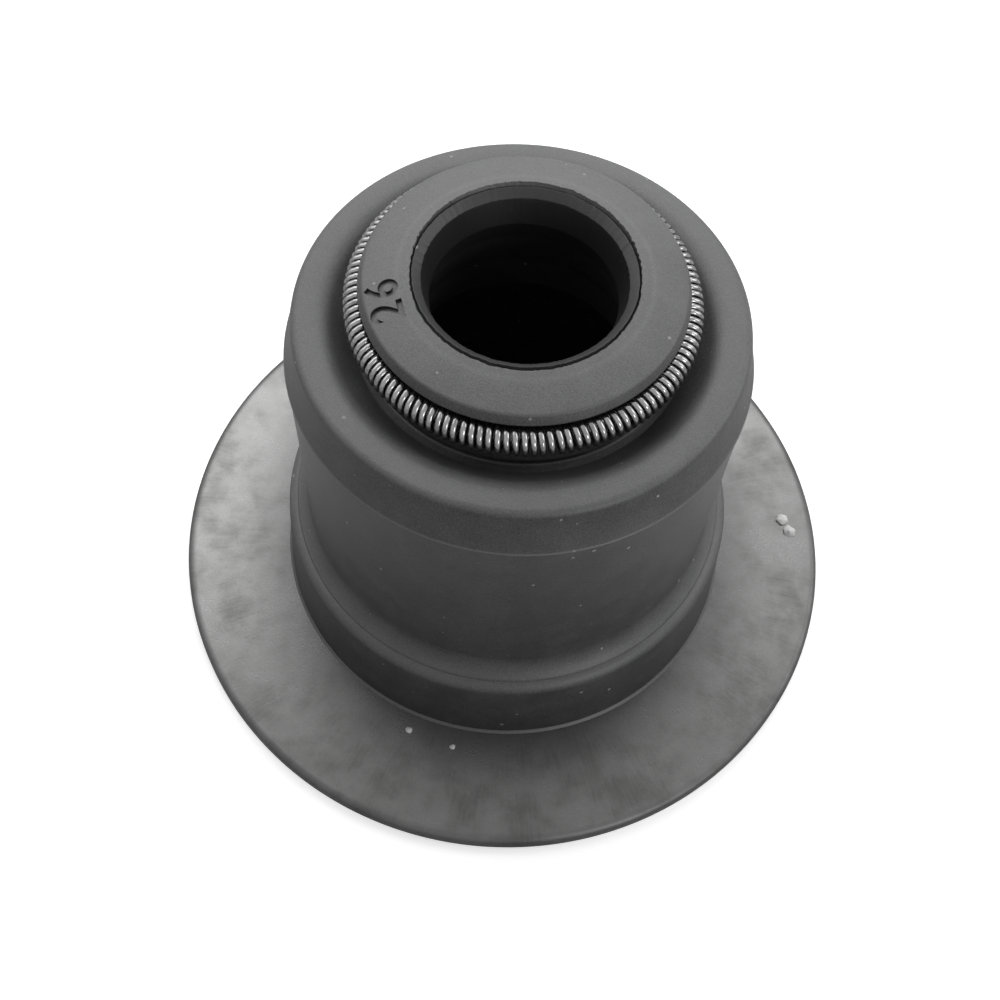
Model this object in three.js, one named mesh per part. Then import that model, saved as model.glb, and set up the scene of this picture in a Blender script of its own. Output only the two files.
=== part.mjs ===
// Valve stem seal with an integral spring seat.
// A pressed steel shell carries a bonded rubber body, and a garter spring closes the sealing lip on the stem.
// Millimetres. +Z runs up the valve stem, and the origin is the centre of the flange's underside.

import * as THREE from 'three';

// Pressed steel shell: one blank, flanged at the foot and curled in at the top.
const SHEET = 0.8;
const FLANGE_RADIUS = 14.5;
const FLANGE_EDGE_ROLL = 0.32;
const FLANGE_EDGE_BREAK = 0.12;
const TUBE_RADIUS = 7.3;
const TUBE_BEND = 0.5;
const CURL_BEND = 0.4;
const CURL_HOLE_RADIUS = 5.1;
const SHELL_BELOW_PARTING = 0.2;

// Rubber body, outside.
const COLLAR_RADIUS = 9.75;
const COLLAR_DRAFT = 0.28;
const COLLAR_HEIGHT = 4.0;
const COLLAR_EDGE = 0.5;
const FOOT_FLASH = 0.12;
const FOOT_FLASH_HEIGHT = 0.1;
const STEP_WIDTH = 0.42;
const STEP_RISE = 0.1;
const WALL_RADIUS = 8.5;
const FLARE_CORNER_RISE = 0.5;
const FLARE_FILLET = 1.3;
const PARTING_FLASH = 0.07;
const CAP_RADIUS = 8.1;
const CAP_DEPTH = 2.0;
const CAP_EDGE = 0.3;
const VALLEY_RADIUS = 5.95;
const VALLEY_DEPTH = 1.0;
const NECK_RADIUS = 5.6;

// Rubber body, sealing head.
const HEAD_HEIGHT = 19.35;
const HEAD_ABOVE_CAP = 2.2;
const HEAD_RADIUS = 5.53;
const HEAD_CROWN = 0.32;
const HEAD_EDGE = 0.18;
const RIM_RADIUS = 5.78;
const RIM_THICKNESS = 0.17;
const MOUTH_RADIUS = 3.92;
const MOUTH_DEPTH = 0.15;
const MOUTH_GROOVE_WIDTH = 0.13;
const MOUTH_GROOVE_DEPTH = 0.08;
const BORE_RADIUS = 3.54;
const LIP_RADIUS = 3.28;
const LIP_BELOW_TOP = 1.35;
const LIP_RELIEF_RADIUS = 3.95;
const LIP_RELIEF_HEIGHT = 2.4;

// Rubber body, lining that grips the valve guide.
const STOP_THICKNESS = 0.75;
const GUIDE_STOP_RADIUS = 4.3;
const LINING_RADIUS = 5.95;
const RIB_COUNT = 3;
const RIB_PITCH = 3.2;
const RIB_PROUD = 0.22;
const RIB_WIDTH = 1.2;
const LOWEST_RIB_HEIGHT = 4.4;
const LINING_FOOT_HEIGHT = 1.6;
const LINING_LEAD_IN = 0.35;

// Garter spring: close-wound coil bent round into a ring.
const SPRING_TURNS = 130;
const SPRING_WIRE = 0.25;
const SPRING_COIL_DIAMETER = 0.96;
const SPRING_RING_RADIUS = 5.63;
const SPRING_BELOW_TOP = 1.57;
const SPRING_CLEARANCE = 0.05;
const GROOVE_LIP_RADIUS = 5.88;
const GROOVE_LIP_THICKNESS = 0.22;

// Facets.
const ROUND_SEGMENTS = 44;
const ARC_STEP = Math.PI / 5;
const STEPS_PER_TURN = 6;
const WIRE_SIDES = 4;

const CAP_HEIGHT = HEAD_HEIGHT - HEAD_ABOVE_CAP;
const PARTING_HEIGHT = CAP_HEIGHT - CAP_DEPTH;
const SHELL_HEIGHT = PARTING_HEIGHT - SHELL_BELOW_PARTING;
const GUIDE_STOP_HEIGHT = SHELL_HEIGHT - SHEET - STOP_THICKNESS;
const FOOT_RADIUS = COLLAR_RADIUS + FOOT_FLASH;
const SPRING_HEIGHT = HEAD_HEIGHT - SPRING_BELOW_TOP;
const GROOVE_RADIUS = SPRING_COIL_DIAMETER / 2 + SPRING_CLEARANCE;
const TUBE_INNER_RADIUS = TUBE_RADIUS - SHEET;

const RUBBER = new THREE.MeshStandardMaterial({ name: 'rubber', color: 0x34353a, roughness: 0.62, metalness: 0 });
const STEEL = new THREE.MeshStandardMaterial({ name: 'steel', color: 0x9a9a98, roughness: 0.42, metalness: 1 });
const SPRING_STEEL = new THREE.MeshStandardMaterial({ name: 'spring', color: 0xd0d0cc, roughness: 0.25, metalness: 1 });

// Points along a run of corners [radius, height, fillet], with each fillet drawn as an arc.
function outline(corners) {
  const points = [];
  corners.forEach(([r, z, fillet = 0], i) => {
    const corner = new THREE.Vector2(r, z);
    if (fillet === 0) {
      points.push(corner);
      return;
    }
    const before = new THREE.Vector2(...corners[i - 1]).sub(corner).normalize();
    const after = new THREE.Vector2(...corners[i + 1]).sub(corner).normalize();
    const halfOpening = Math.acos(before.dot(after)) / 2;
    const setback = fillet / Math.tan(halfOpening);
    const centre = before.clone().add(after).setLength(fillet / Math.sin(halfOpening)).add(corner);
    const first = before.multiplyScalar(setback).add(corner).sub(centre);
    const last = after.multiplyScalar(setback).add(corner).sub(centre);
    const turn = Math.atan2(first.cross(last), first.dot(last));
    const steps = Math.max(2, Math.round(Math.abs(turn) / ARC_STEP));
    for (let k = 0; k <= steps; k += 1) {
      points.push(first.clone().rotateAround(new THREE.Vector2(), (turn * k) / steps).add(centre));
    }
  });
  return points;
}

// Arc of a circle in the section plane, from one angle to another.
function arc(centreR, centreZ, radius, from, to) {
  const steps = Math.max(2, Math.round(Math.abs(to - from) / ARC_STEP));
  return Array.from({ length: steps + 1 }, (_, k) => {
    const angle = from + ((to - from) * k) / steps;
    return new THREE.Vector2(centreR + radius * Math.cos(angle), centreZ + radius * Math.sin(angle));
  });
}

// Ring turned from a section that runs anticlockwise, radius to the right and height upwards.
function turned(name, section, material) {
  const geometry = new THREE.LatheGeometry([...section, section[0]], ROUND_SEGMENTS);
  geometry.rotateX(Math.PI / 2);
  const mesh = new THREE.Mesh(geometry, material);
  mesh.name = name;
  return mesh;
}

// The steel surface that the rubber is bonded to, from the collar's edge over the curl to the lining's foot.
function bondedStretch() {
  const outerBend = CURL_BEND + SHEET;
  return outline([
    [FOOT_RADIUS, SHEET],
    [TUBE_RADIUS, SHEET, TUBE_BEND],
    [TUBE_RADIUS, SHELL_HEIGHT, outerBend],
    [CURL_HOLE_RADIUS, SHELL_HEIGHT],
    [CURL_HOLE_RADIUS, SHELL_HEIGHT - SHEET],
    [TUBE_INNER_RADIUS, SHELL_HEIGHT - SHEET, CURL_BEND],
    [TUBE_INNER_RADIUS, LINING_FOOT_HEIGHT],
  ]);
}

function steelShell() {
  const foot = outline([
    [TUBE_INNER_RADIUS, LINING_FOOT_HEIGHT],
    [TUBE_INNER_RADIUS, 0, TUBE_BEND + SHEET],
    [FLANGE_RADIUS, 0, FLANGE_EDGE_BREAK],
    [FLANGE_RADIUS, SHEET, FLANGE_EDGE_ROLL],
    [FOOT_RADIUS, SHEET],
  ]);
  return turned('steel_shell', [...bondedStretch(), ...foot.slice(1, -1)], STEEL);
}

// Outside of the body from the flange up: collar, flare, wall, parting line, cap and shoulder.
function bodyOutside() {
  const stepRadius = COLLAR_RADIUS - COLLAR_DRAFT - STEP_WIDTH;
  const stepHeight = SHEET + COLLAR_HEIGHT + STEP_RISE;
  const valleyHeight = CAP_HEIGHT - VALLEY_DEPTH;
  return outline([
    [FOOT_RADIUS, SHEET],
    [COLLAR_RADIUS, SHEET + FOOT_FLASH_HEIGHT],
    [COLLAR_RADIUS - COLLAR_DRAFT, SHEET + COLLAR_HEIGHT, COLLAR_EDGE],
    [stepRadius + STEP_RISE / 2, stepHeight],
    [stepRadius, stepHeight + STEP_RISE],
    [WALL_RADIUS, stepHeight + FLARE_CORNER_RISE, FLARE_FILLET],
    [WALL_RADIUS, PARTING_HEIGHT - PARTING_FLASH],
    [WALL_RADIUS + PARTING_FLASH, PARTING_HEIGHT],
    [WALL_RADIUS, PARTING_HEIGHT + PARTING_FLASH],
    [CAP_RADIUS, CAP_HEIGHT, CAP_EDGE],
    [VALLEY_RADIUS + VALLEY_DEPTH, CAP_HEIGHT, VALLEY_DEPTH],
    [VALLEY_RADIUS, valleyHeight],
    [NECK_RADIUS, valleyHeight],
  ]);
}

// Sealing head from the neck up and over: groove lip, spring groove, rim, top, mouth and sealing edge.
function head() {
  const grooveFoot = SPRING_HEIGHT - GROOVE_RADIUS;
  const rimReach = Math.asin((SPRING_RING_RADIUS - RIM_RADIUS) / GROOVE_RADIUS);
  const lip = outline([
    [NECK_RADIUS, grooveFoot - 2 * GROOVE_LIP_THICKNESS],
    [GROOVE_LIP_RADIUS, grooveFoot - GROOVE_LIP_THICKNESS],
  ]);
  const groove = arc(SPRING_RING_RADIUS, SPRING_HEIGHT, GROOVE_RADIUS, -0.4 * Math.PI, -1.5 * Math.PI + rimReach);
  const top = outline([
    [RIM_RADIUS, groove.at(-1).y + RIM_THICKNESS],
    [HEAD_RADIUS, HEAD_HEIGHT - HEAD_CROWN, HEAD_EDGE],
    [MOUTH_RADIUS, HEAD_HEIGHT],
    [MOUTH_RADIUS - MOUTH_GROOVE_WIDTH / 2, HEAD_HEIGHT - MOUTH_DEPTH - MOUTH_GROOVE_DEPTH],
    [MOUTH_RADIUS - MOUTH_GROOVE_WIDTH, HEAD_HEIGHT - MOUTH_DEPTH],
    [BORE_RADIUS, HEAD_HEIGHT - MOUTH_DEPTH],
    [LIP_RADIUS, HEAD_HEIGHT - LIP_BELOW_TOP],
    [LIP_RELIEF_RADIUS, HEAD_HEIGHT - LIP_BELOW_TOP - LIP_RELIEF_HEIGHT],
  ]);
  return [...lip, ...groove, ...top];
}

// Inside of the body from the head down: stop for the guide's end, gripping ribs and lead-in.
function lining() {
  const ribs = Array.from({ length: RIB_COUNT }, (_, i) => {
    const height = LOWEST_RIB_HEIGHT + RIB_PITCH * (RIB_COUNT - 1 - i);
    return [
      [LINING_RADIUS, height + RIB_WIDTH / 2],
      [LINING_RADIUS - RIB_PROUD, height],
      [LINING_RADIUS, height - RIB_WIDTH / 2],
    ];
  });
  return outline([
    [GUIDE_STOP_RADIUS, GUIDE_STOP_HEIGHT],
    [LINING_RADIUS, GUIDE_STOP_HEIGHT],
    ...ribs.flat(),
    [LINING_RADIUS, LINING_FOOT_HEIGHT + LINING_LEAD_IN],
    [LINING_RADIUS + LINING_LEAD_IN, LINING_FOOT_HEIGHT],
  ]);
}

function rubberBody() {
  const bond = bondedStretch().reverse();
  const section = [...bodyOutside(), ...head(), ...lining(), ...bond.slice(0, -1)];
  return turned('rubber_body', section, RUBBER);
}

// Point on the wire's centre line, as a helix wound round the ring; also the ring's own centre for that point.
function springPoint(turn) {
  const around = (turn / SPRING_TURNS) * 2 * Math.PI;
  const winding = turn * 2 * Math.PI;
  const coil = (SPRING_COIL_DIAMETER - SPRING_WIRE) / 2;
  const reach = SPRING_RING_RADIUS + coil * Math.cos(winding);
  return new THREE.Vector3(reach * Math.cos(around), reach * Math.sin(around), coil * Math.sin(winding));
}

// The closed coil: square-on wire sections joined round the helix until the last turn meets the first.
function garterSpring() {
  const sections = SPRING_TURNS * STEPS_PER_TURN;
  const positions = [];
  const indices = [];
  for (let i = 0; i < sections; i += 1) {
    const turn = i / STEPS_PER_TURN;
    const around = (turn / SPRING_TURNS) * 2 * Math.PI;
    const centre = springPoint(turn);
    const ahead = springPoint(turn + 0.01).sub(springPoint(turn - 0.01)).normalize();
    const spine = new THREE.Vector3(Math.cos(around), Math.sin(around), 0).multiplyScalar(SPRING_RING_RADIUS);
    const outward = centre.clone().sub(spine);
    outward.addScaledVector(ahead, -outward.dot(ahead)).normalize();
    const across = new THREE.Vector3().crossVectors(ahead, outward);
    for (let k = 0; k < WIRE_SIDES; k += 1) {
      const angle = (k / WIRE_SIDES) * 2 * Math.PI;
      const corner = centre.clone();
      corner.addScaledVector(outward, (SPRING_WIRE / 2) * Math.cos(angle));
      corner.addScaledVector(across, (SPRING_WIRE / 2) * Math.sin(angle));
      positions.push(corner.x, corner.y, corner.z);
      const next = (k + 1) % WIRE_SIDES;
      const here = i * WIRE_SIDES;
      const there = ((i + 1) % sections) * WIRE_SIDES;
      indices.push(here + k, here + next, there + next, here + k, there + next, there + k);
    }
  }
  const geometry = new THREE.BufferGeometry();
  geometry.setAttribute('position', new THREE.Float32BufferAttribute(positions, 3));
  geometry.setIndex(indices);
  geometry.computeVertexNormals();
  const mesh = new THREE.Mesh(geometry, SPRING_STEEL);
  mesh.name = 'garter_spring';
  mesh.position.z = SPRING_HEIGHT;
  return mesh;
}

const group = new THREE.Group();
group.add(steelShell(), rubberBody(), garterSpring());

export default group;
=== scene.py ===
"""Valve stem seal: rubber body, pressed steel shell and garter spring, dressed for a close view."""

from __future__ import annotations

import logging
import math
from dataclasses import dataclass
from enum import Enum
from typing import Any

import bmesh
import bpy
from mathutils import Matrix, Vector, noise

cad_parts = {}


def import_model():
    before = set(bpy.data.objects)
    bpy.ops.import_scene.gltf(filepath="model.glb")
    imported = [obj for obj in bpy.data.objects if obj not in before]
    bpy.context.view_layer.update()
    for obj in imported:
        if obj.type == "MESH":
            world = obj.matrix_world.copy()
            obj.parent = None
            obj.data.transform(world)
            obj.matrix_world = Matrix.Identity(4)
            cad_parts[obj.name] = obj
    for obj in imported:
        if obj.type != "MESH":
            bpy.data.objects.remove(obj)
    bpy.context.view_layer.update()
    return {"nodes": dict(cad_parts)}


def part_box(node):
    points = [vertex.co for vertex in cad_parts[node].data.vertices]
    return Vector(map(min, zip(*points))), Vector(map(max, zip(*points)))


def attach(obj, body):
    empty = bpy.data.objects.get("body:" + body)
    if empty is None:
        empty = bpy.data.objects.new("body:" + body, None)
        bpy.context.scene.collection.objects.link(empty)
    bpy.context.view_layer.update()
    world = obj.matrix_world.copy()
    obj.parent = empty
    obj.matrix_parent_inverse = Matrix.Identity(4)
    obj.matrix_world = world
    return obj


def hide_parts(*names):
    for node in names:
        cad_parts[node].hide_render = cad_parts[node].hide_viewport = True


MM = 0.001
FULL_TURN = 2 * math.pi
CREASE = math.radians(35)
ROUND_CREASE = math.radians(80)
MERGE_DISTANCE = 1e-7
LOG = logging.getLogger("valve_stem_seal")

Corner = tuple[float, float, float]


class Slot(Enum):
    """Material slot names for the shell, the rubber and the spring."""

    SHELL = "shell_steel"
    RUBBER = "seal_rubber"
    SPRING = "spring_steel"


class Socket:
    """A shader node's output, which can be used in arithmetic."""

    def __init__(self, graph: "Graph", link: bpy.types.NodeSocket) -> None:
        """Keep the output and the graph it belongs to.

        Args:
            graph: The graph that holds the node.
            link: The node's output socket.
        """
        self.graph = graph
        self.link = link

    def maths(self, operation: str, *others: Any) -> "Socket":
        """Add a Math node that takes this value first.

        Args:
            operation: The Math node's operation.
            others: The values or sockets that follow.

        Returns:
            The Math node's output.
        """
        values = dict(enumerate((self, *others)))
        return self.graph.node("ShaderNodeMath", {"operation": operation}, values)

    def __add__(self, other: Any) -> "Socket":
        """Return this value plus another."""
        return self.maths("ADD", other)

    def __mul__(self, other: Any) -> "Socket":
        """Return this value times another."""
        return self.maths("MULTIPLY", other)

    def __sub__(self, other: Any) -> "Socket":
        """Return this value less another."""
        return self.maths("SUBTRACT", other)

    def __rsub__(self, other: float) -> "Socket":
        """Return another value less this one."""
        return (self * -1.0) + other

    def __pow__(self, other: float) -> "Socket":
        """Return this value to a power."""
        return self.maths("POWER", other)

    def band(self, low: float, high: float) -> "Socket":
        """Fade smoothly from 0 at one value to 1 at another.

        Args:
            low: The value that gives 0.
            high: The value that gives 1.

        Returns:
            The faded value, kept between 0 and 1.
        """
        sockets = {"Value": self, "From Min": low, "From Max": high}
        return self.graph.node("ShaderNodeMapRange", {"interpolation_type": "SMOOTHSTEP"}, sockets)


class Graph:
    """A node tree that is built by expressions."""

    def __init__(self, tree: bpy.types.NodeTree) -> None:
        """Start from an empty tree.

        Args:
            tree: The node tree to fill.
        """
        self.tree = tree
        tree.nodes.clear()

    def node(self, kind: str, settings: dict[str, Any], sockets: dict[Any, Any], output: Any = 0) -> Socket:
        """Add one node.

        Args:
            kind: The node's type.
            settings: Its properties, set first.
            sockets: Its inputs by name or number, as values or sockets.
            output: The output to return, by name or number.

        Returns:
            The chosen output.
        """
        made = self.tree.nodes.new(kind)
        for name, value in settings.items():
            setattr(made, name, value)
        for name, value in sockets.items():
            if isinstance(value, Socket):
                self.tree.links.new(value.link, made.inputs[name])
            else:
                made.inputs[name].default_value = value
        return Socket(self, made.outputs[output] if len(made.outputs) else None)

    def noise(self, place: Socket, size: float, detail: float = 2.0, roughness: float = 0.5) -> Socket:
        """Add a noise whose grains have a real size.

        Args:
            place: The coordinates.
            size: The grain's size in millimetres.
            detail: The number of finer layers.
            roughness: The strength of the finer layers.

        Returns:
            The noise, about 0 to 1.
        """
        sockets = {"Vector": place, "Scale": 1.0 / (size * MM), "Detail": detail, "Roughness": roughness}
        return self.node("ShaderNodeTexNoise", {}, sockets)

    def axis(self, place: Socket, name: str) -> Socket:
        """Return one coordinate.

        Args:
            place: The coordinates.
            name: The axis.

        Returns:
            The coordinate.
        """
        return self.node("ShaderNodeSeparateXYZ", {}, {0: place}, name)

    def radius(self, place: Socket) -> Socket:
        """Return the distance from the seal's axis.

        Args:
            place: The coordinates.

        Returns:
            The distance, in metres.
        """
        return ((self.axis(place, "X") ** 2.0) + (self.axis(place, "Y") ** 2.0)).maths("SQRT")

    def relief(self, height: Socket, strength: float, depth: float) -> Socket:
        """Turn a height into a bumped normal.

        Args:
            height: The height, about 0 to 1.
            strength: The bump's strength.
            depth: The relief's depth in millimetres.

        Returns:
            The normal.
        """
        sockets = {"Strength": strength, "Distance": depth * MM, "Height": height}
        return self.node("ShaderNodeBump", {}, sockets)

    def blend(self, factor: Any, first: Any, second: Any) -> Socket:
        """Mix two colours.

        Args:
            factor: The share of the second colour.
            first: A colour or a socket.
            second: A colour or a socket.

        Returns:
            The mixed colour.
        """
        return self.node("ShaderNodeMix", {"data_type": "RGBA"}, {0: factor, 6: first, 7: second}, 2)

    def finish(self, material: bpy.types.Material, sockets: dict[str, Any]) -> bpy.types.Material:
        """Add the Principled shader and the output.

        Args:
            material: The material that holds the tree.
            sockets: The shader's inputs.

        Returns:
            The material.
        """
        surface = self.node("ShaderNodeBsdfPrincipled", {}, sockets)
        self.node("ShaderNodeOutputMaterial", {}, {"Surface": surface})
        return material


def start_material(name: str) -> tuple[bpy.types.Material, Graph, Socket]:
    """Make an empty material with object coordinates.

    Args:
        name: The material's name.

    Returns:
        The material, its graph and the coordinates.
    """
    made = bpy.data.materials.new(name)
    made.use_nodes = True
    graph = Graph(made.node_tree)
    return made, graph, graph.node("ShaderNodeTexCoord", {}, {}, "Object")


def grey(level: float, warmth: float = 0.0) -> tuple[float, float, float, float]:
    """Return a grey as a colour, a little warmer or cooler.

    Args:
        level: The linear grey.
        warmth: The share by which red rises and blue falls.

    Returns:
        The colour with full alpha.
    """
    return (level * (1 + warmth), level, level * (1 - warmth), 1.0)


@dataclass(frozen=True)
class MouldedRubber:
    """Matte black nitrile rubber with fine grain, pale dust and a faint mould ring. Sizes are in millimetres.

    A paler grey film lies in patches all over. Faces that look up are painted paler, partly settled dust and
    partly painted light from above, and the wall is painted paler towards the parting line: painted light.
    """

    shade: float = 0.014
    film_and_light_grey: float = 0.13
    wall_light_foot: float = 6.5
    wall_light_top: float = 15.0
    upward_dust_and_light_share: float = 0.58
    wall_light_share: float = 0.17
    bloom_grain: float = 0.3
    bloom_mottle: float = 0.12
    bloom_floor: float = 0.08
    ridge_radius: float = 8.54
    ridge_height: float = 15.0
    ridge_highlight_share: float = 0.7
    bore_radius: float = 3.5
    cut_radius: float = 3.85
    cut_shade: float = 0.02
    roughness: float = 0.46
    specular: float = 0.4
    grain: float = 0.055
    mottle: float = 1.3
    dust_cell: float = 0.62
    dust_radius: float = 0.085
    dust_shade: float = 0.22
    ring_radius: float = 4.35
    ring_width: float = 0.16
    ring_share: float = 0.12
    relief_depth: float = 0.012

    def material(self) -> bpy.types.Material:
        """Build the rubber's material.

        Returns:
            The material.
        """
        made, graph, place = start_material("moulded_rubber")
        grain = graph.noise(place, self.grain, 3.0, 0.6)
        mottle = graph.noise(place, self.mottle, 4.0, 0.55)
        dust = self.dust(graph, place)
        ring = self.insert_ring(graph, place)
        facing = graph.node("ShaderNodeTexCoord", {}, {}, "Normal")
        height = graph.axis(place, "Z")
        # Faces that look up are painted paler, partly settled dust and partly painted light from above, which
        # also paints the highlight on the flare.
        upward_dust_and_light = graph.axis(facing, "Z").band(0.1, 0.95)
        # Painted light: the wall is painted paler from the collar up to the parting line, and this stops just
        # above the parting ridge.
        painted_wall_light = height.band(self.wall_light_foot * MM, self.wall_light_top * MM)
        painted_wall_light = painted_wall_light - height.band((self.ridge_height + 0.1) * MM, (self.ridge_height + 0.3) * MM)
        patchy = (mottle.band(0.32, 0.72) * self.bloom_mottle) + (grain.band(0.35, 0.7) * self.bloom_grain)
        dust_and_painted_light = (upward_dust_and_light * self.upward_dust_and_light_share) + (painted_wall_light * self.wall_light_share)
        film_and_painted_light = patchy + dust_and_painted_light + (ring * self.ring_share) - self.bloom_floor
        outer_colour_and_light = graph.blend(film_and_painted_light, grey(self.shade, -0.01), grey(self.film_and_light_grey, -0.005))
        # Painted highlight: the parting ridge is painted pale.
        ridge_highlight = graph.radius(place).band((self.ridge_radius - 0.03) * MM, self.ridge_radius * MM)
        ridge_highlight = ridge_highlight * height.band(self.ridge_height * MM, (self.ridge_height + 0.1) * MM)
        outer_colour_and_light = graph.blend(ridge_highlight * self.ridge_highlight_share, outer_colour_and_light, grey(self.film_and_light_grey))
        # Painted shade: inside the bore the rubber is painted at half the usual shade. The trimmed ring round
        # the mouth gets its own plain grey, without the film.
        inside = 1.0 - graph.radius(place).band(self.cut_radius * MM, (self.cut_radius + 0.06) * MM)
        cut = graph.radius(place).band(self.bore_radius * MM, (self.bore_radius + 0.1) * MM)
        cut_and_shaded_bore = graph.blend(cut, grey(self.shade * 0.5), grey(self.cut_shade))
        body = graph.blend(inside, outer_colour_and_light, cut_and_shaded_bore)
        colour = graph.blend(dust, body, grey(self.dust_shade, 0.03))
        roughness = (mottle * 0.12) + (grain * 0.1) + (self.roughness - 0.1)
        relief = grain + (graph.noise(place, self.grain * 4, 2.0) * 0.8) + (dust * 1.5)
        bump = graph.relief(relief, 0.7, self.relief_depth)
        sockets = {"Base Color": colour, "Roughness": roughness, "Normal": bump}
        return graph.finish(made, {**sockets, "Specular IOR Level": self.specular})

    def dust(self, graph: Graph, place: Socket) -> Socket:
        """Scatter a few pale specks of uneven size.

        Args:
            graph: The material's graph.
            place: Object coordinates.

        Returns:
            1 on a speck and 0 off it.
        """
        warped = graph.node("ShaderNodeTexNoise", {}, {"Vector": place, "Scale": 1.0 / (0.12 * MM)}, "Color")
        bent = graph.node("ShaderNodeVectorMath", {"operation": "SCALE"}, {0: warped, "Scale": 0.06 * MM})
        moved = graph.node("ShaderNodeVectorMath", {"operation": "ADD"}, {0: place, 1: bent})
        cells = {"Vector": moved, "Scale": 1.0 / (self.dust_cell * MM)}
        distance = graph.node("ShaderNodeTexVoronoi", {}, cells, "Distance")
        pick = graph.node("ShaderNodeTexVoronoi", {}, cells, "Color")
        chosen = graph.node("ShaderNodeSeparateColor", {}, {0: pick}, 0)
        size = chosen.band(0.6, 1.0) * (self.dust_radius / self.dust_cell)
        return (size - distance).band(0.0, 0.03)

    def insert_ring(self, graph: Graph, place: Socket) -> Socket:
        """Draw the faint ring that the mould's insert leaves on the head.

        Args:
            graph: The material's graph.
            place: Object coordinates.

        Returns:
            1 on the ring and 0 off it.
        """
        gap = (graph.radius(place) - self.ring_radius * MM).maths("ABSOLUTE")
        return 1.0 - gap.band(0.0, self.ring_width * MM)


@dataclass(frozen=True)
class PressedSteel:
    """Dull, mottled sheet steel with faint marks that run outward. Sizes are in millimetres."""

    shade: float = 0.135
    stain: float = 0.092
    foot_shade: float = 0.03
    foot_radius: float = 9.6
    foot_reach: float = 4.2
    rim_radius: float = 14.35
    roughness: float = 0.3
    blotch: float = 1.9
    grain: float = 0.09
    streak: float = 0.14
    relief_depth: float = 0.012
    foot_grime_and_shade_share: float = 0.7
    rim_shade_share: float = 0.3
    streak_share: float = 0.2

    def material(self) -> bpy.types.Material:
        """Build the sheet's material.

        Returns:
            The material.
        """
        made, graph, place = start_material("pressed_steel")
        blotch = graph.noise(place, self.blotch, 5.0, 0.6)
        grain = graph.noise(place, self.grain, 3.0, 0.6)
        base = graph.blend(blotch.band(0.35, 0.75), grey(self.shade, 0.004), grey(self.stain, 0.01))
        stained_and_shaded = graph.blend(grain.band(0.45, 0.85) * 0.25, base, grey(self.stain * 0.6))
        # Darker towards the rubber's foot: partly grime, partly painted shade from the rubber body.
        wander = graph.radius(place) + (blotch * 1.2 * MM)
        near = 1.0 - wander.band(self.foot_radius * MM, (self.foot_radius + self.foot_reach) * MM)
        stained_and_shaded = graph.blend(near * self.foot_grime_and_shade_share, stained_and_shaded, grey(self.foot_shade))
        # Painted shade: the rolled rim is painted darker, and it is also made rougher.
        rim = graph.radius(place).band((self.rim_radius - 0.3) * MM, self.rim_radius * MM)
        colour = graph.blend(rim * self.rim_shade_share, stained_and_shaded, grey(self.foot_shade))
        roughness = (blotch * 0.14) + (grain * 0.1) + (rim * 0.22) + (self.roughness - 0.12)
        around = graph.axis(place, "Y").maths("ARCTAN2", graph.axis(place, "X")) * (self.rim_radius * MM)
        rubbed = graph.node("ShaderNodeCombineXYZ", {}, {0: around, 1: graph.radius(place) * 0.08})
        streak = graph.noise(rubbed, self.streak, 3.0, 0.6)
        patchy = streak.band(0.35, 0.7) * blotch.band(0.4, 0.65)
        colour = graph.blend(patchy * self.streak_share, colour, grey(self.foot_shade))
        relief = grain + (blotch * 0.2) + (patchy * 0.2)
        bump = graph.relief(relief, 0.35, self.relief_depth)
        sockets = {"Base Color": colour, "Metallic": 1.0, "Roughness": roughness, "Normal": bump}
        return graph.finish(made, sockets)


@dataclass(frozen=True)
class DrawnWire:
    """Bright spring wire with a little oil and grime. Sizes are in millimetres."""

    shade: float = 0.28
    grime: float = 0.11
    roughness: float = 0.23
    patch: float = 0.5
    grain: float = 0.04

    def material(self) -> bpy.types.Material:
        """Build the wire's material.

        Returns:
            The material.
        """
        made, graph, place = start_material("drawn_wire")
        patch = graph.noise(place, self.patch, 3.0)
        fine = graph.noise(place, self.grain, 2.0)
        colour = graph.blend(patch.band(0.45, 0.8) * 0.6, grey(self.shade), grey(self.grime, 0.01))
        roughness = (patch * 0.12) + (fine * 0.08) + (self.roughness - 0.1)
        return graph.finish(made, {"Base Color": colour, "Metallic": 1.0, "Roughness": roughness})


@dataclass(frozen=True)
class PaleDirt:
    """Dry white flecks."""

    shade: float = 0.62
    patch: float = 0.2

    def material(self) -> bpy.types.Material:
        """Build the dirt's material.

        Returns:
            The material.
        """
        made, graph, place = start_material("pale_dirt")
        patch = graph.noise(place, self.patch, 3.0)
        colour = graph.blend(patch.band(0.3, 0.8) * 0.5, grey(self.shade), grey(self.shade * 0.6, 0.02))
        return graph.finish(made, {"Base Color": colour, "Roughness": 0.9})


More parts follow.
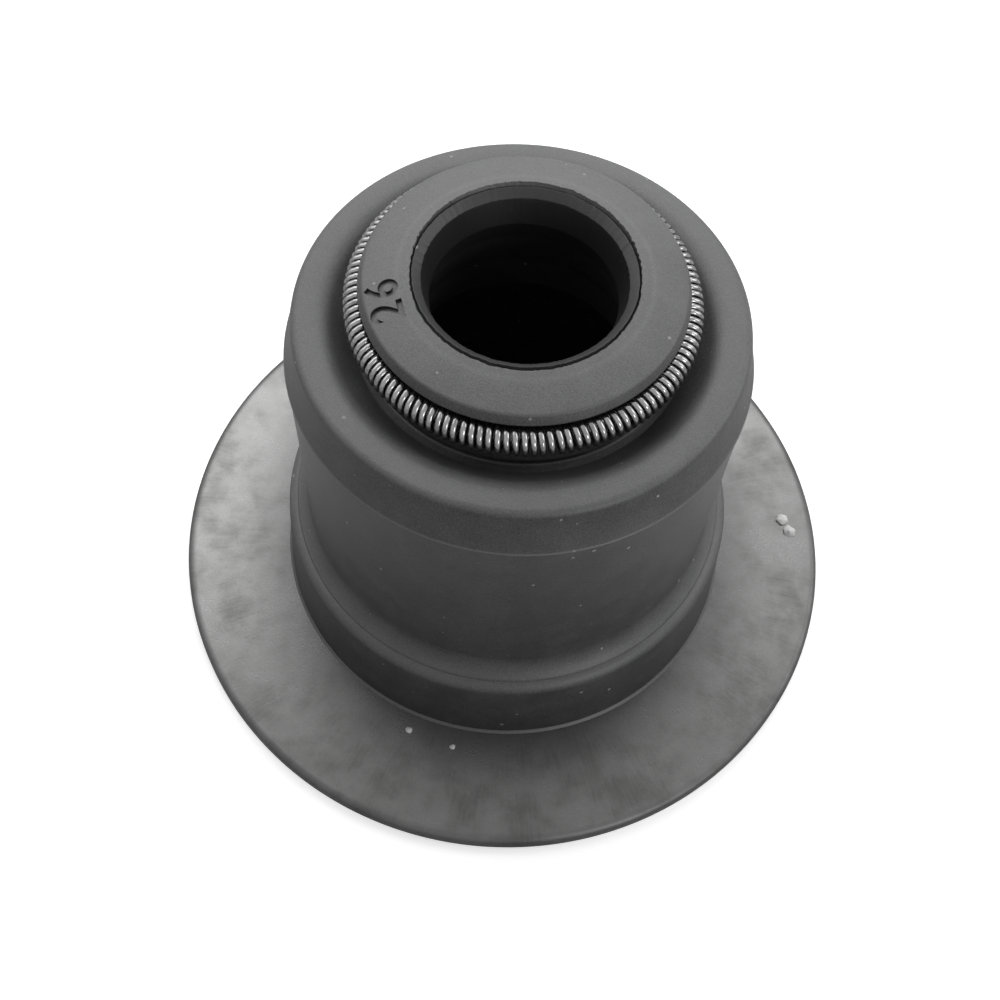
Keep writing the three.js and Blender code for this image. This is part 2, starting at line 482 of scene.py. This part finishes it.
def turn_section(corners: list[Corner], segments: int, fillet_segments: int) -> bmesh.types.BMesh:
    """Round the corners of a closed section and spin it into a ring.

    Args:
        corners: Radius, height and fillet of each corner, in millimetres, anticlockwise.
        segments: Steps round the ring.
        fillet_segments: Steps in each fillet.

    Returns:
        The ring, in metres.
    """
    mesh = bmesh.new()
    verts = [mesh.verts.new((r * MM, 0.0, z * MM)) for r, z, _ in corners]
    face = mesh.faces.new(verts)
    for i, (r, z, fillet) in enumerate(corners):
        if fillet > 0:
            before = Vector(corners[i - 1][:2]) - Vector((r, z))
            after = Vector(corners[(i + 1) % len(corners)][:2]) - Vector((r, z))
            setback = fillet / math.tan(before.angle(after) / 2)
            bmesh.ops.bevel(
                mesh,
                geom=[verts[i]],
                offset=setback * MM,
                offset_type="OFFSET",
                segments=fillet_segments,
                profile=0.5,
                affect="VERTICES",
                material=-1,
                clamp_overlap=False,
            )
    bmesh.ops.delete(mesh, geom=mesh.faces[:], context="FACES_ONLY")
    bmesh.ops.spin(
        mesh,
        geom=mesh.verts[:] + mesh.edges[:],
        cent=(0.0, 0.0, 0.0),
        axis=(0.0, 0.0, 1.0),
        angle=FULL_TURN,
        steps=segments,
        use_merge=True,
    )
    bmesh.ops.remove_doubles(mesh, verts=mesh.verts[:], dist=MERGE_DISTANCE)
    bmesh.ops.recalc_face_normals(mesh, faces=mesh.faces[:])
    return mesh


def arc(centre: tuple[float, float], radius: float, start: float, end: float, steps: int) -> list[Corner]:
    """Return points on an arc of the section.

    Args:
        centre: The arc's centre, as radius and height.
        radius: The arc's radius.
        start: The first angle.
        end: The last angle.
        steps: Steps along the arc.

    Returns:
        Corners without a fillet.
    """
    angles = [start + (end - start) * i / steps for i in range(steps + 1)]
    return [(centre[0] + radius * math.cos(a), centre[1] + radius * math.sin(a), 0.0) for a in angles]


def finish_piece(mesh: bmesh.types.BMesh, name: str, sharp_angle: float) -> bpy.types.Object:
    """Turn a bmesh into an object with smooth faces and sharp creases.

    Args:
        mesh: The finished bmesh, which is freed.
        name: The piece's name.
        sharp_angle: Edges that turn by more than this stay sharp.

    Returns:
        The object, linked to the scene.
    """
    for face in mesh.faces:
        face.smooth = True
    for edge in mesh.edges:
        if len(edge.link_faces) == 2:
            edge.smooth = edge.calc_face_angle(0.0) < sharp_angle
    data = bpy.data.meshes.new(name)
    mesh.to_mesh(data)
    mesh.free()
    made = bpy.data.objects.new(name, data)
    bpy.context.scene.collection.objects.link(made)
    return made


def seat(piece: bpy.types.Object, material: bpy.types.Material, node: str | None) -> None:
    """Dress a piece, tie it to the body and let it stand for its node.

    Args:
        piece: The piece.
        material: Its material.
        node: The node that it replaces, if any.
    """
    piece.data.materials.clear()
    piece.data.materials.append(material)
    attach(piece, "root")
    if node:
        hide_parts(node)
    LOG.info("%s: %d vertices", piece.name, len(piece.data.vertices))


@dataclass
class SteelShell:
    """The pressing: flange, tube and curled top. Sizes are in millimetres."""

    flange_radius: float
    height: float
    sheet: float = 0.8
    edge_roll: float = 0.32
    edge_break: float = 0.12
    tube_radius: float = 7.3
    tube_bend: float = 0.5
    curl_bend: float = 0.4
    curl_hole: float = 5.1
    segments: int = 256

    def section(self) -> list[Corner]:
        """Return the pressing's section.

        Returns:
            The corners, anticlockwise.
        """
        inner = self.tube_radius - self.sheet
        return [
            (inner, 0.0, self.tube_bend + self.sheet),
            (self.flange_radius, 0.0, self.edge_break),
            (self.flange_radius, self.sheet, self.edge_roll),
            (self.tube_radius, self.sheet, self.tube_bend),
            (self.tube_radius, self.height, self.curl_bend + self.sheet),
            (self.curl_hole, self.height, 0.0),
            (self.curl_hole, self.height - self.sheet, 0.0),
            (inner, self.height - self.sheet, self.curl_bend),
        ]

    def build(self) -> bpy.types.Object:
        """Turn the pressing.

        Returns:
            The piece.
        """
        mesh = turn_section(self.section(), self.segments, 6)
        return finish_piece(mesh, "shell_pressing", CREASE)


def carve(body: bpy.types.Object, cutter: bpy.types.Object) -> bmesh.types.BMesh:
    """Cut one object out of another.

    Args:
        body: The object that is cut, which is removed.
        cutter: The object that cuts, which is removed.

    Returns:
        The cut shape.
    """
    cut = body.modifiers.new("cut", "BOOLEAN")
    cut.operation = "DIFFERENCE"
    cut.solver = "EXACT"
    cut.object = cutter
    bpy.context.view_layer.update()
    data = bpy.data.meshes.new_from_object(body.evaluated_get(bpy.context.evaluated_depsgraph_get()))
    mesh = bmesh.new()
    mesh.from_mesh(data)
    bpy.data.meshes.remove(data)
    bpy.data.objects.remove(body)
    bpy.data.objects.remove(cutter)
    return mesh


@dataclass
class MouldMark:
    """The cavity number that is sunk into the head. Sizes are in millimetres and angles in degrees."""

    number: str = "26"
    digit_height: float = 1.12
    stroke_gain: float = 0.032
    radius: float = 4.8
    azimuth: float = -161.3
    depth: float = 0.13
    raster: float = 1.42
    spacing: float = 1.18

    def build(self, body: "RubberBody") -> bpy.types.Object:
        """Shape the digits as a cutter that follows the head's slope.

        Args:
            body: The body whose head is marked.

        Returns:
            The cutter.
        """
        curve = bpy.data.curves.new("mark_text", "FONT")
        curve.body = self.number
        curve.align_x = "CENTER"
        curve.align_y = "CENTER"
        curve.size = self.digit_height * self.raster * MM
        curve.space_character = self.spacing
        curve.offset = self.stroke_gain * MM
        curve.extrude = self.depth * MM
        curve.resolution_u = 6
        text = bpy.data.objects.new("mark_text", curve)
        bpy.context.scene.collection.objects.link(text)
        bpy.context.view_layer.update()
        data = bpy.data.meshes.new_from_object(text.evaluated_get(bpy.context.evaluated_depsgraph_get()))
        bpy.data.objects.remove(text)
        slope = math.atan2(body.head_crown, body.head_radius - body.mouth_radius)
        turn = math.radians(self.azimuth)
        fall = (self.radius - body.mouth_radius) * math.tan(slope)
        place = Matrix.Rotation(turn, 4, "Z") @ Matrix.Translation(
            Vector((self.radius, 0.0, body.head_height - fall)) * MM
        )
        place = place @ Matrix.Rotation(slope, 4, "Y") @ Matrix.Rotation(-math.pi / 2, 4, "Z")
        data.transform(place)
        cutter = bpy.data.objects.new("mark_cutter", data)
        bpy.context.scene.collection.objects.link(cutter)
        return cutter


@dataclass
class RubberBody:
    """The moulding bonded to the shell. Sizes are in millimetres."""

    shell: SteelShell
    head_height: float
    mark: MouldMark
    wall_radius: float = 8.5
    collar_radius: float = 9.75
    collar_draft: float = 0.28
    collar_height: float = 4.0
    collar_edge: float = 0.5
    foot_flash: float = 0.12
    step_width: float = 0.42
    step_rise: float = 0.1
    flare_corner_rise: float = 0.5
    flare_fillet: float = 1.3
    shell_below_parting: float = 0.2
    parting_flash: float = 0.07
    cap_radius: float = 8.1
    cap_edge: float = 0.3
    head_above_cap: float = 2.2
    valley_radius: float = 5.95
    valley_depth: float = 1.0
    neck_radius: float = 5.6
    head_radius: float = 5.53
    head_crown: float = 0.32
    head_edge: float = 0.15
    rim_radius: float = 5.7
    rim_thickness: float = 0.03
    mouth_radius: float = 4.0
    mouth_depth: float = 0.06
    mouth_slope: float = 0.1
    cut_drop: float = 0.26
    tear: float = 0.04
    oval: float = 0.12
    mouth_groove_depth: float = 0.12
    bore_radius: float = 3.54
    lip_radius: float = 3.28
    lip_below_top: float = 1.35
    relief_radius: float = 3.95
    relief_height: float = 2.4
    stop_thickness: float = 0.75
    guide_stop_radius: float = 4.3
    lining_radius: float = 5.95
    rib_heights: tuple[float, ...] = (10.8, 7.6, 4.4)
    rib_proud: float = 0.22
    rib_width: float = 1.2
    lining_foot: float = 1.6
    lead_in: float = 0.35
    ring_radius: float = 5.66
    groove_radius: float = 0.8
    spring_below_top: float = 1.48
    groove_lip_radius: float = 5.88
    groove_lip_thickness: float = 0.22
    segments: int = 360

    @property
    def cap_height(self) -> float:
        """Return the height of the cap's shoulder."""
        return self.head_height - self.head_above_cap

    @property
    def parting_height(self) -> float:
        """Return the height of the mould's parting line."""
        return self.shell.height + self.shell_below_parting

    @property
    def guide_stop_height(self) -> float:
        """Return the height of the shelf that meets the valve guide's end."""
        return self.shell.height - self.shell.sheet - self.stop_thickness

    def outside(self) -> list[Corner]:
        """Return the section from the flange up to the neck.

        Returns:
            The corners.
        """
        sheet = self.shell.sheet
        step_radius = self.collar_radius - self.collar_draft - self.step_width
        step_height = sheet + self.collar_height + self.step_rise
        valley = self.cap_height - self.valley_depth
        flash = self.parting_flash
        return [
            (self.collar_radius + self.foot_flash, sheet, 0.0),
            (self.collar_radius, sheet + self.foot_flash * 0.8, 0.05),
            (self.collar_radius - self.collar_draft, sheet + self.collar_height, self.collar_edge),
            (step_radius + self.step_rise / 2, step_height, 0.0),
            (step_radius, step_height + self.step_rise, 0.0),
            (self.wall_radius, step_height + self.flare_corner_rise, self.flare_fillet),
            (self.wall_radius, self.parting_height - flash, 0.0),
            (self.wall_radius + flash, self.parting_height, 0.03),
            (self.wall_radius, self.parting_height + flash, 0.0),
            (self.cap_radius, self.cap_height, self.cap_edge),
            (self.valley_radius + self.valley_depth, self.cap_height, self.valley_depth * 0.9),
            (self.valley_radius, valley, 0.1),
            (self.neck_radius, valley, 0.1),
        ]

    def head(self) -> list[Corner]:
        """Return the section from the groove's lip over the top to the sealing edge.

        Returns:
            The corners.
        """
        spring = self.head_height - self.spring_below_top
        foot = spring - self.groove_radius
        ring = self.head_height - self.mouth_depth
        reach = math.asin((self.ring_radius - self.rim_radius) / self.groove_radius)
        start, end = -0.4 * math.pi, reach - 1.5 * math.pi
        groove = arc((self.ring_radius, spring), self.groove_radius, start, end, 12)
        return [
            (self.neck_radius, foot - 2 * self.groove_lip_thickness, 0.0),
            (self.groove_lip_radius, foot - self.groove_lip_thickness, 0.05),
            *groove,
            (self.rim_radius, spring + self.groove_radius + self.rim_thickness, 0.06),
            (self.head_radius, self.head_height - self.head_crown, self.head_edge),
            (self.mouth_radius, self.head_height, 0.02),
            (self.mouth_radius - self.mouth_slope, ring - self.mouth_groove_depth, 0.0),
            (self.mouth_radius - self.mouth_slope - 0.06, ring, 0.015),
            (self.bore_radius, ring - self.cut_drop, 0.03),
            (self.lip_radius, self.head_height - self.lip_below_top, 0.02),
            (self.relief_radius, self.head_height - self.lip_below_top - self.relief_height, 0.1),
        ]

    def lining(self) -> list[Corner]:
        """Return the section from the guide's stop down over the gripping ribs.

        Returns:
            The corners.
        """
        corners = [
            (self.guide_stop_radius, self.guide_stop_height, 0.1),
            (self.lining_radius, self.guide_stop_height, 0.1),
        ]
        for height in self.rib_heights:
            corners += [
                (self.lining_radius, height + self.rib_width / 2, 0.1),
                (self.lining_radius - self.rib_proud, height, 0.3),
                (self.lining_radius, height - self.rib_width / 2, 0.1),
            ]
        corners += [
            (self.lining_radius, self.lining_foot + self.lead_in, 0.0),
            (self.lining_radius + self.lead_in, self.lining_foot, 0.0),
        ]
        return corners

    def bond(self) -> list[Corner]:
        """Return the section where the rubber follows the steel, from the lining's foot up and over.

        Returns:
            The corners.
        """
        shell = self.shell
        inner = shell.tube_radius - shell.sheet
        return [
            (inner, self.lining_foot, 0.0),
            (inner, shell.height - shell.sheet, shell.curl_bend),
            (shell.curl_hole, shell.height - shell.sheet, 0.0),
            (shell.curl_hole, shell.height, 0.0),
            (shell.tube_radius, shell.height, shell.curl_bend + shell.sheet),
            (shell.tube_radius, shell.sheet, shell.tube_bend),
        ]

    def build(self) -> bpy.types.Object:
        """Turn the moulding.

        Returns:
            The piece.
        """
        corners = self.outside() + self.head() + self.lining() + self.bond()
        mesh = turn_section(corners, self.segments, 5)
        self.roughen(mesh)
        blank = finish_piece(mesh, "rubber_blank", CREASE)
        mark = self.mark.build(self)
        cut = carve(blank, mark)
        return finish_piece(cut, "rubber_moulding", CREASE)

    def roughen(self, mesh: bmesh.types.BMesh) -> None:
        """Tear the trimmed mouth's edge a little and make it slightly oval.

        Args:
            mesh: The turned moulding, in metres.
        """
        ring_foot = (self.head_height - self.mouth_depth - 1.2 * self.cut_drop) * MM
        for vert in mesh.verts:
            radius = math.hypot(vert.co.x, vert.co.y)
            near = self.bore_radius * MM * 0.98 < radius < self.mouth_radius * MM * 1.02
            if vert.co.z < ring_foot or not near:
                continue
            across = Vector((vert.co.x, vert.co.y, 0.0)) / radius
            tear = noise.noise(across * 26) + 0.8 * noise.noise(across * 60 + Vector((3.0, 1.0, 7.0)))
            outer = radius > (self.mouth_radius - self.mouth_slope * 0.5) * MM
            oval = abs(across.y) - 0.75
            reach = (self.tear * tear + self.oval * oval) if outer else self.tear / 2 * tear
            vert.co += across * reach * MM


@dataclass
class GarterSpring:
    """The close-wound coil round the head. Sizes are in millimetres."""

    height: float
    turns: int = 130
    wire: float = 0.225
    coil: float = 1.14
    lean: float = 0.01
    sway: float = 0.02
    unevenness: float = 0.12
    ring_radius: float = 5.7
    steps_per_turn: int = 14

    def point(self, turn: float) -> Vector:
        """Return a point on the wire's centre line.

        Args:
            turn: The number of turns wound so far.

        Returns:
            The point, in metres.
        """
        around = turn / self.turns * FULL_TURN
        winding = turn * FULL_TURN
        coil = (self.coil - self.wire) / 2
        sway = noise.noise(Vector((math.cos(around) * 9, math.sin(around) * 9, 0.0)))
        spread = noise.noise(Vector((math.cos(around) * 40, math.sin(around) * 40, 5.0)))
        around += spread * self.unevenness * FULL_TURN / self.turns
        around += self.lean / self.ring_radius * math.cos(winding)
        reach = self.ring_radius + coil * math.cos(winding)
        height = self.height - coil * math.sin(winding) + sway * self.sway
        return Vector((reach * math.cos(around), reach * math.sin(around), height)) * MM

    def build(self) -> bpy.types.Object:
        """Sweep the wire along the coil and turn it into a mesh.

        Returns:
            The piece.
        """
        curve = bpy.data.curves.new("spring_path", "CURVE")
        curve.dimensions = "3D"
        curve.bevel_depth = self.wire / 2 * MM
        curve.bevel_resolution = 2
        curve.use_fill_caps = False
        count = self.turns * self.steps_per_turn
        spline = curve.splines.new("POLY")
        spline.points.add(count - 1)
        for i, spot in enumerate(spline.points):
            spot.co = (*self.point(i / self.steps_per_turn), 1.0)
        spline.use_cyclic_u = True
        path = bpy.data.objects.new("spring_path", curve)
        bpy.context.scene.collection.objects.link(path)
        bpy.context.view_layer.update()
        data = bpy.data.meshes.new_from_object(path.evaluated_get(bpy.context.evaluated_depsgraph_get()))
        bpy.data.objects.remove(path)
        mesh = bmesh.new()
        mesh.from_mesh(data)
        bpy.data.meshes.remove(data)
        bmesh.ops.remove_doubles(mesh, verts=mesh.verts[:], dist=MERGE_DISTANCE)
        bmesh.ops.recalc_face_normals(mesh, faces=mesh.faces[:])
        return finish_piece(mesh, "spring_coil", ROUND_CREASE)


@dataclass(frozen=True)
class Fleck:
    """One lump of dirt on the flange, in millimetres and degrees."""

    name: str
    radius: float
    azimuth: float
    width: float


@dataclass
class Dirt:
    """The lumps of dirt that lie on the flange."""

    floor: float
    roughness: float = 0.35
    flatness: float = 0.6
    flecks: tuple[Fleck, ...] = (
        Fleck("dirt_outer", 13.05, 7.4, 0.52),
        Fleck("dirt_inner", 13.3, 4.7, 0.56),
        Fleck("dirt_foot", 10.57, -108.5, 0.3),
        Fleck("dirt_small", 10.71, -97.8, 0.22),
    )

    def build(self, fleck: Fleck) -> bpy.types.Object:
        """Shape one lump.

        Args:
            fleck: Its name, place and width.

        Returns:
            The piece.
        """
        mesh = bmesh.new()
        bmesh.ops.create_icosphere(mesh, subdivisions=3, radius=fleck.width / 2 * MM)
        angle = math.radians(fleck.azimuth)
        place = Vector((math.cos(angle), math.sin(angle), 0.0)) * fleck.radius * MM
        for vert in mesh.verts:
            rough = noise.noise(vert.co * 6000 + place * 9000)
            vert.co *= 1.0 + self.roughness * rough
            vert.co.z *= self.flatness
        bmesh.ops.translate(mesh, verts=mesh.verts[:], vec=place + Vector((0, 0, self.floor * MM)))
        return finish_piece(mesh, fleck.name, ROUND_CREASE)


@dataclass
class Studio:
    """Camera, floor, lamps and background. Distances are in millimetres and angles in degrees."""

    target_height: float = 0.8
    distance: float = 58.79
    elevation: float = 62.21
    tilt: float = 1.27
    pan: float = 0.32
    roll: float = 4.74
    lens: float = 45.65
    ambient: float = 0.1
    lamp_distance: float = 260.0
    floor_shade: float = 0.8
    floor_lift: float = 0.55

    def camera(self) -> None:
        """Stand the camera where the photograph was taken from."""
        data = bpy.data.cameras.new("camera")
        data.lens = self.lens
        data.sensor_width = 36.0
        data.sensor_fit = "HORIZONTAL"
        data.clip_start = 1 * MM
        data.clip_end = 10.0
        made = bpy.data.objects.new("camera", data)
        rise = math.radians(self.elevation)
        away = Vector((0.0, -math.cos(rise), math.sin(rise)))
        place = away * self.distance * MM + Vector((0, 0, self.target_height * MM))
        aim = (-away).to_track_quat("-Z", "Y").to_matrix().to_4x4()
        turned = aim @ Matrix.Rotation(math.radians(self.tilt), 4, "X")
        turned = turned @ Matrix.Rotation(math.radians(self.pan), 4, "Y")
        turned = turned @ Matrix.Rotation(math.radians(self.roll), 4, "Z")
        made.matrix_world = Matrix.Translation(place) @ turned
        bpy.context.scene.collection.objects.link(made)
        bpy.context.scene.camera = made

    def lamp(self, name: str, azimuth: float, elevation: float, width: float, watts: float) -> None:
        """Hang one soft lamp that faces the seal.

        Args:
            name: The lamp's name.
            azimuth: Its direction round the seal, from +X.
            elevation: Its height over the floor, in degrees.
            width: Its width.
            watts: Its power.
        """
        data = bpy.data.lights.new(name, "AREA")
        data.shape = "SQUARE"
        data.size = width * MM
        data.energy = watts
        made = bpy.data.objects.new(name, data)
        turn, rise = math.radians(azimuth), math.radians(elevation)
        out = Vector((math.cos(turn) * math.cos(rise), math.sin(turn) * math.cos(rise), math.sin(rise)))
        aim = out.to_track_quat("Z", "Y").to_matrix().to_4x4()
        made.matrix_world = Matrix.Translation(out * self.lamp_distance * MM) @ aim
        bpy.context.scene.collection.objects.link(made)

    def lamps(self) -> None:
        """Hang a large lamp behind, one on each side, and a small low one in front to the right."""
        self.lamp("key", 93.0, 46.0, 240.0, 0.57)
        self.lamp("left", 155.0, 40.0, 200.0, 0.22)
        self.lamp("right", 12.0, 34.0, 160.0, 0.25)
        self.lamp("front", -50.0, 22.0, 70.0, 0.17)

    def floor(self) -> None:
        """Lay the pale floor, which looks white and keeps a soft shadow."""
        mesh = bmesh.new()
        bmesh.ops.create_grid(mesh, x_segments=1, y_segments=1, size=3.0)
        made = finish_piece(mesh, "floor", CREASE)
        made.data.materials.append(self.floor_material())

    def floor_material(self) -> bpy.types.Material:
        """Build the floor's material: matte, and lifted towards white where the camera sees it.

        Returns:
            The material.
        """
        made = bpy.data.materials.new("pale_floor")
        made.use_nodes = True
        graph = Graph(made.node_tree)
        matte = graph.node("ShaderNodeBsdfDiffuse", {}, {"Color": grey(self.floor_shade)})
        camera = graph.node("ShaderNodeLightPath", {}, {}, "Is Camera Ray")
        sockets = {"Color": grey(1.0), "Strength": camera * self.floor_lift}
        lift = graph.node("ShaderNodeEmission", {}, sockets)
        both = graph.node("ShaderNodeAddShader", {}, {0: matte, 1: lift})
        graph.node("ShaderNodeOutputMaterial", {}, {"Surface": both})
        return made

    def world(self) -> None:
        """Light the studio evenly and show white to the camera and in reflections."""
        world = bpy.data.worlds.new("studio")
        bpy.context.scene.world = world
        world.use_nodes = True
        graph = Graph(world.node_tree)
        rays = [
            graph.node("ShaderNodeLightPath", {}, {}, name)
            for name in ("Is Camera Ray", "Is Glossy Ray", "Is Transmission Ray")
        ]
        seen = rays[0].maths("MAXIMUM", rays[1].maths("MAXIMUM", rays[2]))
        level = (seen * (1.0 - self.ambient)) + self.ambient
        light = graph.node("ShaderNodeBackground", {}, {"Color": grey(1.0), "Strength": level})
        graph.node("ShaderNodeOutputWorld", {}, {"Surface": light})


def main() -> None:
    """Load the frame, build every piece and note the sizes."""
    logging.basicConfig(level=logging.INFO, format="%(name)s: %(message)s")
    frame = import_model()
    LOG.info("frame nodes: %s", ", ".join(sorted(frame["nodes"])))
    shell_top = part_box("steel_shell")[1]
    rubber_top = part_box("rubber_body")[1]

    studio = Studio()
    studio.camera()
    studio.lamps()
    studio.floor()
    studio.world()

    shell = SteelShell(flange_radius=shell_top.x / MM, height=shell_top.z / MM)
    seat(shell.build(), PressedSteel().material(), "steel_shell")
    rubber = RubberBody(shell=shell, head_height=rubber_top.z / MM, mark=MouldMark())
    seat(rubber.build(), MouldedRubber().material(), "rubber_body")
    spring = GarterSpring(height=rubber.head_height - rubber.spring_below_top)
    seat(spring.build(), DrawnWire().material(), "garter_spring")
    dirt = Dirt(floor=shell.sheet)
    chalk = PaleDirt().material()
    for fleck in dirt.flecks:
        seat(dirt.build(fleck), chalk, None)

    bpy.context.scene.view_settings.view_transform = "Standard"


if __name__ == "__main__":
    main()
